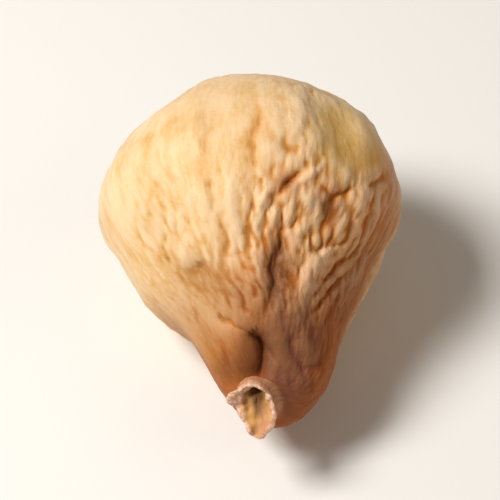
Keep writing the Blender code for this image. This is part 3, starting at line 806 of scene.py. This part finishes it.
def region_masks(skin, places):
    """Where the skin differs, from 0 to 1 at every point."""
    along, radius, angle = skin.column(ALONG), skin.column(RADIUS), skin.angle()
    across, down = places.T / MM
    seen = smooth_step(*SEEN_FACING, skin.flat(skin.out) @ towards_camera())
    knobbly = seen_oval("knobbly part", across, down)
    lively_back = BACK_LIVELY + BACK_SWELL * swell(skin.flat(skin.points), BACK_SIZE, BACK_SEED)
    lively_back = np.clip(lively_back, LEAST_LIVELY, 1.0)
    lively_front = LEAST_LIVELY + (1.0 - LEAST_LIVELY) * knobbly
    calm = (1.0 - smooth_step(*TOP_ACROSS, across)) * (1.0 - smooth_step(*TOP_DOWN, down))
    calm += (1.0 - smooth_step(*LEFT_EDGE_ACROSS, across)) * (1.0 - smooth_step(*LEFT_EDGE_DOWN, down))
    calm += LEFT_LOBE_CALM * seen_oval("left lobe", across, down)
    stains_and_shade = 0.0
    for middle_across, middle_down, reach_across, reach_down, share in SEEN_STAINS_AND_SHADE.values():
        gap = ((across - middle_across) / reach_across) ** 2 + ((down - middle_down) / reach_down) ** 2
        stains_and_shade = stains_and_shade + share * np.exp(-gap)
    left_neck, right_neck = smooth_step(*LEFT_NECK_DOWN, down), smooth_step(*RIGHT_NECK_DOWN, down)
    neck_front = left_neck + smooth_step(*NECK_ACROSS, across) * (right_neck - left_neck)
    neck_back = smooth_step(*BACK_NECK_ALONG, along)
    mauve = seen_oval("right lobe", across, down)
    row = np.repeat(np.arange(skin.rows), skin.columns)
    rim = int(np.argmax(skin.sections[:, ALONG]))
    outside = (row < rim) & (along > STALK_FROM_ALONG)
    streak = bump_at(angle, STREAK_ANGLE, STREAK_REACH)
    return {
        "lively": lively_back + seen * (lively_front - lively_back),
        "traced": seen * knobbly,
        "hidden": 1.0 - seen,
        "edge": seen * smooth_step(*RIGHT_EDGE_ACROSS, across),
        # left: the side that faces the light; it calms the wrinkles, and the material paints light there
        "left": seen * (1.0 - smooth_step(*LEFT_ACROSS, across)),
        "calm": seen * np.clip(calm, 0.0, 1.0),
        "underside": smooth_step(*UNDERSIDE, -np.cos(angle)),
        # brown: browner skin, partly real and partly painted shade where the camera sees it
        "brown": HIDDEN_BROWN + seen * (np.clip(stains_and_shade, 0.0, 1.0) - HIDDEN_BROWN),
        # dark: painted shade where the stains run deepest
        "dark": seen * np.clip(stains_and_shade - PAINTED_SHADE_FROM, 0.0, 1.0),
        "neck": neck_back + seen * (neck_front - neck_back),
        "mauve": HIDDEN_MAUVE + seen * (mauve - HIDDEN_MAUVE),
        "green": seen * seen_oval("green patch", across, down),
        "stalk": np.where(outside, 1.0 - smooth_step(*STALK_RADIUS, radius), row >= rim),
        "rim": np.interp(row - rim, RIM_RINGS, [0.0, 1.0, 1.0, 0.0]),
        "cut": np.interp(row - rim, [0, INSIDE_RINGS], [0.0, 1.0]),
        "pink": (row > rim) * streak * smooth_step(*STREAK_RADIUS, radius),
        # hollow: the bottom of the cut, painted darker, partly as painted shade
        "hollow": (row > rim) * (1.0 - smooth_step(*HOLLOW_RADIUS, radius)),
        "eye": (1.0 - smooth_step(*EYE_RADIUS, radius)) * (along < EYE_TO),
    }


def share_kept(masks, taken_away):
    """What share the regions leave, at every point."""
    share = 1.0
    for region, taken in taken_away.items():
        share = share * (1.0 - taken * masks[region])
    return share


def fold_moves(skin, places, strength):
    """How all folds and dents move the skin."""
    strokes = []
    for path, depth, width in SEEN_FOLDS.values():
        strokes.append((seen_path(skin, places, path), SEEN_BEND, depth, width, crease_shape, SEEN_PINCH))
    for path, depth, width in HIDDEN_FOLDS.values():
        strokes.append((hidden_path(skin, path), HIDDEN_BEND, depth, width, crease_shape, HIDDEN_PINCH))
    for path, depth, width in SEEN_DENTS.values():
        strokes.append((seen_path(skin, places, path), SEEN_BEND, depth, width, dent_shape, DENT_PINCH))
    offset = np.zeros((skin.rows * skin.columns, 3))
    for number, (path, bend, depth, width, shape_beside, pinch) in enumerate(strokes):
        path = wandering(path, bend, FOLD_BEND_SEED + number)
        depth = depth * MM * strength
        offset += fold_skin(skin, path, depth, width * MM, shape_beside, pinch, FOLD_DEPTH_SEED + number)
    return offset * np.minimum(1.0, FOLD_WRINKLED * skin.column(WRINKLED))[:, None]


def ridge_heights(skin, places, strength):
    """How far all the listed ridges and lumps lift the skin."""
    lifted = np.zeros(skin.rows * skin.columns)
    for number, (path, height, width) in enumerate(SEEN_RIDGES.values()):
        path = wandering(seen_path(skin, places, path), SEEN_BEND, RIDGE_BEND_SEED + number)
        lifted += ridge_skin(skin, path, height * MM * strength, width * MM)
    return lifted


def wrinkle_relief(skin, name, spacing, lively):
    """One pattern of wrinkles this far apart, around 0."""
    turn, more_turn, turn_size, patch_size, stretch, sharpness, turn_seed, seed = WRINKLES[name]
    turns = (turn + more_turn * lively) * swell(skin.flat(skin.points), turn_size, turn_seed)
    phase, presence = wrinkle_field(skin, spacing, turns, patch_size, stretch, seed)
    return wrinkle_profile(phase, smooth_step(SHARP_FROM, SHARP_FULL, lively) * sharpness) * presence


def wrinkle_heights(skin, masks, shape):
    """How far the ribs, wrinkles and lumps between the folds lift the skin."""
    points, lively = skin.flat(skin.points), masks["lively"]
    narrowing = NARROWEST + (1.0 - NARROWEST) * smooth_step(*NARROW_RADIUS, skin.column(RADIUS))
    ribs = wrinkle_relief(skin, "ribs", shape.rib_spacing * narrowing, lively)
    closeness = 1.0 + CLOSENESS_SWELL * swell(points, CLOSENESS_SIZE, CLOSENESS_SEED)
    closeness = np.clip(closeness, *CLOSENESS_LIMITS)
    wrinkles = wrinkle_relief(skin, "wrinkles", shape.wrinkle_spacing * narrowing * closeness, lively)
    fine = wrinkle_relief(skin, "fine wrinkles", shape.fine_spacing * narrowing, lively)
    uneven = np.clip(1.0 + UNEVEN_SWELL * swell(points, UNEVEN_SIZE, UNEVEN_SEED), *UNEVEN_LIMITS)
    grain = grain_places(skin, LUMP_STRETCH)
    large = lumps(grain, shape.lump_spacing, LUMP_SEED) * np.clip(uneven, *LUMP_UNEVEN_LIMITS)
    small = lumps(grain, shape.small_lump_spacing, SMALL_LUMP_SEED)
    total = 0.0
    for pattern, height, relief in (
        ("ribs", shape.rib_height, ribs),
        ("wrinkles", shape.wrinkle_height, wrinkles * uneven * narrowing),
        ("lumps", shape.lump_height, large),
        ("small lumps", shape.small_lump_height, small),
        ("fine wrinkles", shape.fine_height, fine),
    ):
        calm_share, taken_away = PATTERN_LOSS[pattern]
        share = (calm_share + (1.0 - calm_share) * lively) * share_kept(masks, taken_away)
        total = total + height * share * relief
    return total


def wrinkle_skin(skin, shape):
    """Moves the skin into ribs, wrinkles and folds. Returns the masks that the material reads."""
    places = picture_places(skin.points).reshape(-1, 2)
    masks = region_masks(skin, places)
    masks["lively"] = masks["lively"] * share_kept(masks, LIVELY_LOSS)
    plain_hollow, plain_dip = skin.sunk(HOLLOW_SIZE), skin.sunk(DIP_SIZE)

    broad = shape.swell_height * swell(skin.flat(skin.points), shape.swell_size, SWELL_SEED)
    folds = fold_moves(skin, places, shape.fold_strength)
    lifted = ridge_heights(skin, places, shape.fold_strength)
    wrinkles = skin.column(WRINKLED) * (broad + wrinkle_heights(skin, masks, shape))
    skin.move(folds + skin.flat(skin.out) * (wrinkles + lifted)[:, None])

    hollow, dip = skin.sunk(HOLLOW_SIZE) - plain_hollow, skin.sunk(DIP_SIZE) - plain_dip
    masks["ridge"] = np.clip(0.5 - hollow / VALLEY_HOLLOW - dip / VALLEY_DIP, 0.0, 1.0)
    # crest: the placed ridges, which the material paints paler, partly as a painted highlight
    masks["crest"] = np.clip(lifted / CREST_HEIGHT, 0.0, 1.0)
    # creased: where the material paints the creases darker, partly their own colour and partly painted shade
    masks["creased"] = smooth_step(CREASE_FROM, CREASE_FULL, hollow) * share_kept(masks, CREASE_SHADE_LOSS)
    for region in SHAPE_REGIONS:
        del masks[region]
    return masks


def open_eye(skin, masks):
    """Cuts the star of slits into the eye's disc, and lifts the scales between them."""
    radius = skin.column(RADIUS) * skin.half
    angle = skin.angle()
    spots = np.stack([-radius * np.sin(angle), radius * np.cos(angle)], axis=-1)
    slits = np.zeros(len(spots))
    sunk = np.zeros(len(spots))
    disc = masks["eye"] > 0.0
    for path, depth, width in EYE_SLITS:
        curve = smooth_curve(np.array(path) * MM, STEPS_BETWEEN_POINTS)
        near, way, share = way_to_path(spots, curve, SLIT_REACH * width * MM)
        distance = np.linalg.norm(way, axis=1)
        taper = SLIT_ENDS + (1.0 - SLIT_ENDS) * np.sqrt(np.clip(1.0 - share, 0.0, 1.0))
        cut = np.exp(-((distance / (width * MM * taper)) ** 2))
        slits[near] = np.maximum(slits[near], cut)
        sunk[near] = np.maximum(sunk[near], cut * depth * MM * taper)
    scales = SCALE_HEIGHT * swell(skin.flat(skin.points), SCALE_SIZE, EYE_SEED)
    height = np.where(disc, masks["eye"] * scales - sunk, 0.0)
    skin.move(skin.flat(skin.out) * height[:, None])
    masks["slit"] = np.where(disc, slits, 0.0)


def cut_stalk(skin, masks):
    """Roughens the stalk towards its rim, and the cut inside it."""
    torn = masks["stalk"] * np.repeat(skin.rim_share(), skin.columns)
    rough = CUT_ROUGHNESS * swell(skin.flat(skin.points), CUT_GRAIN_SIZE, CUT_SEED) * torn
    skin.move(skin.flat(skin.out) * rough[:, None])


def rest_on_ground(skin):
    """Presses flat what lies below the ground, and centres the fig where the frame has it."""
    height = skin.points[..., 2]
    pressed = GROUND_GIVE * np.log1p(np.exp(np.minimum(height / GROUND_GIVE, GIVES_WITHIN)))
    skin.points[..., 2] = np.where(height > GIVES_WITHIN * GROUND_GIVE, height, pressed)
    low, high = skin.points.min(axis=(0, 1)), skin.points.max(axis=(0, 1))
    middle = (low + high) / 2
    wanted = (CAD_LOW + CAD_HIGH) / 2
    skin.points -= [middle[0] - wanted.x, middle[1] - wanted.y, low[2] - CAD_LOW.z]


def spun_grid(rows, columns):
    """A closed mesh spun about the Y axis, with a ring of points for each row but the two at the poles.
    It is spun in a few steps and then divided, because a spin in many small steps is slow."""
    mesh = bmesh.new()
    profile = [mesh.verts.new((0.0, row, min(row, rows - 1 - row))) for row in range(rows)]
    edges = [mesh.edges.new(pair) for pair in zip(profile, profile[1:])]
    bmesh.ops.spin(
        mesh, geom=profile + edges, cent=(0, 0, 0), axis=(0, 1, 0), dvec=(0, 0, 0),
        angle=math.tau, steps=columns // COLUMNS_IN_STEP, use_merge=True,
    )
    bmesh.ops.remove_doubles(mesh, verts=mesh.verts[:], dist=MERGE_DISTANCE)
    rings = [edge for edge in mesh.edges if abs(edge.verts[0].co.y - edge.verts[1].co.y) < 0.5]
    bmesh.ops.subdivide_edges(mesh, edges=rings, cuts=COLUMNS_IN_STEP - 1, use_grid_fill=True)
    return mesh


def place_in_grid(data, rows, columns):
    """The row and the column of the grid that each vertex stands for."""
    places = np.empty(len(data.vertices) * 3, np.float32)
    data.vertices.foreach_get("co", places)
    places = places.reshape(-1, 3)
    row = np.rint(places[:, 1]).astype(int)
    turn = np.arctan2(places[:, 0], places[:, 2]) / math.tau
    return row, np.rint(turn * columns).astype(int) % columns


def grain_places(skin, stretch):
    """Where the grain of the skin is read: patterns there run along the fig, stretched that way."""
    travelled = np.repeat(skin.travelled(), skin.columns)
    wide = smooth_step(*GRAIN_NARROW_RADIUS, skin.column(RADIUS))
    apart = skin.half * (GRAIN_NARROWEST + (1.0 - GRAIN_NARROWEST) * wide)
    angle = skin.angle()
    return np.stack([apart * np.sin(angle), travelled / stretch, apart * np.cos(angle)], axis=-1)


def fig_mesh(skin, masks):
    """The skin's mesh, with the masks and the grain as attributes for the material."""
    grid = spun_grid(skin.rows, skin.columns)
    data = bpy.data.meshes.new("fig_skin")
    grid.to_mesh(data)
    grid.free()
    row, column = place_in_grid(data, skin.rows, skin.columns)
    data.vertices.foreach_set("co", skin.points[row, column].astype(np.float32).ravel())
    for name, values in masks.items():
        attribute = data.attributes.new(name, "FLOAT", "POINT")
        attribute.data.foreach_set("value", values[row * skin.columns + column].astype(np.float32))
    grain = grain_places(skin, GRAIN_STRETCH)[row * skin.columns + column].astype(np.float32)
    data.attributes.new("grain", "FLOAT_VECTOR", "POINT").data.foreach_set("vector", grain.ravel())
    finished = bmesh.new()
    finished.from_mesh(data)
    bmesh.ops.recalc_face_normals(finished, faces=finished.faces[:])
    finished.to_mesh(data)
    finished.free()
    data.shade_smooth()
    return data


def add_node(tree, kind, **settings):
    node = tree.nodes.new(kind)
    for name, value in settings.items():
        setattr(node, name, value)
    return node


def attribute(tree, name):
    return add_node(tree, "ShaderNodeAttribute", attribute_name=name).outputs["Fac"]


def mixed(tree, share, first, second):
    """A colour between two, each of which is a colour or a socket."""
    node = add_node(tree, "ShaderNodeMix", data_type="RGBA", clamp_factor=True)
    for socket, value in ((node.inputs[0], share), (node.inputs[6], first), (node.inputs[7], second)):
        if isinstance(value, bpy.types.NodeSocket):
            tree.links.new(value, socket)
        else:
            socket.default_value = value
    return node.outputs[2]


def computed(tree, operation, first, second=0.0, third=0.0):
    node = add_node(tree, "ShaderNodeMath", operation=operation)
    for socket, value in zip(node.inputs, (first, second, third)):
        if isinstance(value, bpy.types.NodeSocket):
            tree.links.new(value, socket)
        else:
            socket.default_value = value
    return node.outputs[0]


def product(tree, first, second):
    return computed(tree, "MULTIPLY", first, second)


def faded(tree, value, name):
    """How strong a finish is, from the value that it follows."""
    node = add_node(tree, "ShaderNodeMapRange", interpolation_type="SMOOTHSTEP")
    tree.links.new(value, node.inputs["Value"])
    for socket, number in zip(("From Min", "From Max", "To Min", "To Max"), FADES[name]):
        node.inputs[socket].default_value = number
    return node.outputs["Result"]


def noise(tree, place, size, detail=3.0, roughness=0.55):
    """Noise whose blobs are about this size, in metres."""
    node = add_node(tree, "ShaderNodeTexNoise", noise_dimensions="3D")
    tree.links.new(place, node.inputs["Vector"])
    node.inputs["Scale"].default_value = 1.0 / size
    node.inputs["Detail"].default_value = detail
    node.inputs["Roughness"].default_value = roughness
    return node.outputs["Fac"]


def skin_material(colours):
    """Dry fruit skin: cream ridges, honey slopes, orange valleys, and the finishes of the other regions.
    Part of the darkening in the creases, stains and neck is painted shade, and the paler left side and crests
    are partly painted light.
    """
    material = bpy.data.materials.new("fig_skin_finish")
    material.use_nodes = True
    tree = material.node_tree
    shader = tree.nodes["Principled BSDF"]
    even = add_node(tree, "ShaderNodeTexCoord").outputs["Object"]
    grained = add_node(tree, "ShaderNodeAttribute", attribute_name="grain").outputs["Vector"]

    blotches = noise(tree, even, BLOTCH_SIZE, detail=4.0)
    bands = noise(tree, grained, BAND_SIZE, detail=2.0, roughness=0.6)
    streaks = noise(tree, grained, STREAK_SIZE, detail=2.0, roughness=0.6)
    fibres = noise(tree, grained, FIBRE_SIZE, detail=2.0)
    grain = noise(tree, even, GRAIN_SIZE, detail=2.0)
    ridge = attribute(tree, "ridge")
    tone = computed(tree, "MULTIPLY_ADD", ridge, RIDGE_TONE, VALLEY_TONE)
    for pattern, strength in zip((blotches, bands, streaks, fibres), PATTERN_TONES):
        tone = computed(tree, "ADD", tone, computed(tree, "MULTIPLY_ADD", pattern, strength, -strength / 2.0))
    # Painted light: the left side, which faces the light, is made a little paler
    tone = computed(tree, "MULTIPLY_ADD", attribute(tree, "left"), LIT_SIDE_PAINTED_LIGHT, tone)
    left, neck = attribute(tree, "left"), attribute(tree, "neck")
    colour = mixed(tree, faded(tree, tone, "slope"), colours.valley, colours.slope)
    colour = mixed(tree, faded(tree, tone, "ridge"), colour, colours.ridge)
    brown = attribute(tree, "brown")
    # Stains: brown as painted shade, gold as their painted lit copy on the left side that faces the light
    stain_lit_and_shaded = mixed(tree, left, colours.brown, colours.gold)
    colour = mixed(tree, product(tree, brown, faded(tree, tone, "brown")), colour, stain_lit_and_shaded)
    # Partly painted highlight: the placed ridges turn paler cream
    crest = product(tree, attribute(tree, "crest"), CREST_HIGHLIGHT_SHARE)
    colour = mixed(tree, crest, colour, colours.crest)
    green = product(tree, attribute(tree, "green"), faded(tree, blotches, "green"))
    colour = mixed(tree, product(tree, green, GREEN_SHARE), colour, colours.green)

    # The neck's own browns, darkened in part as painted shade where it turns from the light
    lobe = mixed(tree, attribute(tree, "mauve"), colours.lobe, colours.neck)
    # The left lobe, which faces the light, gets the gold as a painted lit copy
    lobe = mixed(tree, product(tree, left, faded(tree, tone, "golden lobe")), lobe, colours.gold)
    lobe = mixed(tree, faded(tree, tone, "slope of the neck"), lobe, colours.slope)
    colour = mixed(tree, neck, colour, lobe)
    # Painted shade over the deepest valley, the deep folds and the shaded lobes
    dark = product(tree, attribute(tree, "dark"), faded(tree, tone, "dark"))
    colour = mixed(tree, dark, colour, colours.shade)
    # Creases darken towards the cleft colour: partly their own red brown and partly painted crease shade
    deep = mixed(tree, computed(tree, "MAXIMUM", brown, neck), colours.valley, colours.cleft)
    colour = mixed(tree, product(tree, attribute(tree, "creased"), CREASE_SHADE_SHARE), colour, deep)

    bark = mixed(tree, faded(tree, streaks, "bark"), colours.lobe, colours.stalk)
    colour = mixed(tree, attribute(tree, "stalk"), colour, bark)
    gold = mixed(tree, faded(tree, fibres, "cut"), colours.cut_gold, colours.stalk)
    colour = mixed(tree, attribute(tree, "cut"), colour, gold)
    pink = product(tree, attribute(tree, "pink"), faded(tree, fibres, "pink"))
    colour = mixed(tree, pink, colour, colours.cut_pink)
    pale = mixed(tree, faded(tree, grain, "rim"), colours.stalk, colours.cut_rim)
    colour = mixed(tree, attribute(tree, "rim"), colour, pale)
    # The bottom of the cut turns darker brown, partly as painted shade under the rim
    colour = mixed(tree, attribute(tree, "hollow"), colour, colours.cut_hollow)
    eye_colour = mixed(tree, faded(tree, streaks, "eye"), colours.slope, colours.eye)
    colour = mixed(tree, attribute(tree, "eye"), colour, eye_colour)
    colour = mixed(tree, attribute(tree, "slit"), colour, colours.slit)
    tree.links.new(colour, shader.inputs["Base Color"])

    roughness = computed(
        tree, "MULTIPLY_ADD", grain, GRAIN_ROUGHNESS, colours.roughness - GRAIN_ROUGHNESS / 2.0)
    roughness = computed(tree, "MULTIPLY_ADD", neck, NECK_ROUGHNESS, roughness)
    tree.links.new(roughness, shader.inputs["Roughness"])
    shader.inputs["Specular IOR Level"].default_value = SHINE
    shader.inputs["Specular Tint"].default_value = SHINE_TINT
    shader.inputs["Subsurface Weight"].default_value = SUBSURFACE_SHARE
    shader.inputs["Subsurface Radius"].default_value = SUBSURFACE_COLOURS
    shader.inputs["Subsurface Scale"].default_value = SUBSURFACE_DEPTH

    bump = add_node(tree, "ShaderNodeBump")
    bump.inputs["Strength"].default_value = BUMP_STRENGTH
    bump.inputs["Distance"].default_value = BUMP_HEIGHT
    pores = noise(tree, even, PORE_SIZE, detail=3.0, roughness=0.6)
    grit = noise(tree, grained, GRIT_SIZE, detail=3.0, roughness=0.6)
    grit = product(tree, grit, faded(tree, attribute(tree, "lively"), "grit"))
    height = computed(tree, "ADD", pores, computed(tree, "MULTIPLY_ADD", fibres, FIBRE_BUMP, grit))
    tree.links.new(height, bump.inputs["Height"])
    tree.links.new(bump.outputs["Normal"], shader.inputs["Normal"])
    return material


def floor_material(colour):
    material = bpy.data.materials.new("plain_floor")
    material.use_nodes = True
    tree = material.node_tree
    shader = tree.nodes["Principled BSDF"]
    place = add_node(tree, "ShaderNodeTexCoord").outputs["Object"]
    paper = noise(tree, place, PAPER_SIZE, detail=2.0)
    darker = [channel * PAPER_SHADE for channel in colour[:3]] + [1.0]
    tree.links.new(mixed(tree, paper, darker, list(colour)), shader.inputs["Base Color"])
    shader.inputs["Roughness"].default_value = PAPER_ROUGHNESS
    shader.inputs["Specular IOR Level"].default_value = SHINE
    return material


def around_fig(centre, azimuth, elevation, distance):
    """A place at this distance. Azimuth 0 is in front of the fig, and 90 on its right."""
    turn, tilt = math.radians(azimuth), math.radians(elevation)
    way = Vector((math.sin(turn) * math.cos(tilt), -math.cos(turn) * math.cos(tilt), math.sin(tilt)))
    return centre + way * distance


def add_light(name, centre, settings, power):
    """A soft square light, turned to the fig's centre."""
    azimuth, elevation, distance, size, colour = settings
    light = bpy.data.lights.new(name, "AREA")
    light.shape = "SQUARE"
    light.size = size
    light.energy = power
    light.color = colour
    lamp = bpy.data.objects.new(name, light)
    lamp.location = around_fig(centre, azimuth, elevation, distance)
    lamp.rotation_euler = (centre - lamp.location).to_track_quat("-Z", "Y").to_euler()
    bpy.context.scene.collection.objects.link(lamp)


class DRIEDFIG_OT_skin(bpy.types.Operator):
    """Grows the fig's skin, with its wrinkles, its eye and its cut stalk"""
    bl_idname = "driedfig.skin"
    bl_label = "Fig skin"

    def execute(self, context):
        scene = context.scene
        skin = Skin(scene.dried_fig_shape)
        masks = wrinkle_skin(skin, scene.dried_fig_shape)
        open_eye(skin, masks)
        cut_stalk(skin, masks)
        rest_on_ground(skin)
        data = fig_mesh(skin, masks)
        data.materials.append(skin_material(scene.dried_fig_colours))
        fig = bpy.data.objects.new("fig_skin", data)
        scene.collection.objects.link(fig)
        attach(fig, "root")
        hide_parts("dried_fig")
        return {"FINISHED"}


class DRIEDFIG_OT_stage(bpy.types.Operator):
    """Adds the floor, the soft lights and the camera"""
    bl_idname = "driedfig.stage"
    bl_label = "Stage"

    def execute(self, context):
        scene, stage = context.scene, context.scene.dried_fig_stage
        disc = bmesh.new()
        bmesh.ops.create_circle(disc, cap_ends=True, segments=96, radius=stage.floor_radius)
        data = bpy.data.meshes.new("floor")
        disc.to_mesh(data)
        disc.free()
        data.materials.append(floor_material(stage.floor))
        floor = bpy.data.objects.new("floor", data)
        scene.collection.objects.link(floor)

        centre = (CAD_LOW + CAD_HIGH) / 2
        add_light("key", centre, KEY_LIGHT, stage.key_power)
        add_light("fill", centre, FILL_LIGHT, stage.fill_power)
        world = bpy.data.worlds.new("soft_sky")
        world.use_nodes = True
        sky = world.node_tree.nodes["Background"]
        sky.inputs["Color"].default_value = SKY_COLOUR
        sky.inputs["Strength"].default_value = stage.sky
        scene.world = world
        scene.view_settings.view_transform = "Standard"

        camera = bpy.data.objects.new("camera", bpy.data.cameras.new("camera"))
        camera.data.lens = camera.data.sensor_width * stage.camera_distance / stage.picture_height
        camera.location = around_fig(centre, 0.0, CAMERA_ELEVATION, stage.camera_distance)
        camera.rotation_euler = (centre - camera.location).to_track_quat("-Z", "Y").to_euler()
        camera.data.clip_start = 0.01
        scene.collection.objects.link(camera)
        scene.camera = camera
        return {"FINISHED"}


class DRIEDFIG_PT_panel(bpy.types.Panel):
    """Lists what makes the fig, and its sizes and colours"""
    bl_idname = "DRIEDFIG_PT_panel"
    bl_label = "Dried Fig"
    bl_space_type = "VIEW_3D"
    bl_region_type = "UI"
    bl_category = "Dried Fig"

    def draw(self, context):
        layout = self.layout
        for operator, settings in (
            ("driedfig.skin", context.scene.dried_fig_shape),
            (None, context.scene.dried_fig_colours),
            ("driedfig.stage", context.scene.dried_fig_stage),
        ):
            box = layout.box()
            for name in settings.bl_rna.properties.keys():
                if name not in ("name", "rna_type"):
                    box.prop(settings, name)
            if operator:
                box.operator(operator)


CLASSES = (
    DriedFigShape, DriedFigColours, DriedFigStage, DRIEDFIG_OT_skin, DRIEDFIG_OT_stage, DRIEDFIG_PT_panel,
)


def register():
    for each in CLASSES:
        bpy.utils.register_class(each)
    bpy.types.Scene.dried_fig_shape = PointerProperty(type=DriedFigShape)
    bpy.types.Scene.dried_fig_colours = PointerProperty(type=DriedFigColours)
    bpy.types.Scene.dried_fig_stage = PointerProperty(type=DriedFigStage)


def unregister():
    del bpy.types.Scene.dried_fig_stage
    del bpy.types.Scene.dried_fig_colours
    del bpy.types.Scene.dried_fig_shape
    for each in reversed(CLASSES):
        bpy.utils.unregister_class(each)


def main():
    register()
    bpy.ops.driedfig.stage()
    bpy.ops.driedfig.skin()


if __name__ == "__main__":
    main()
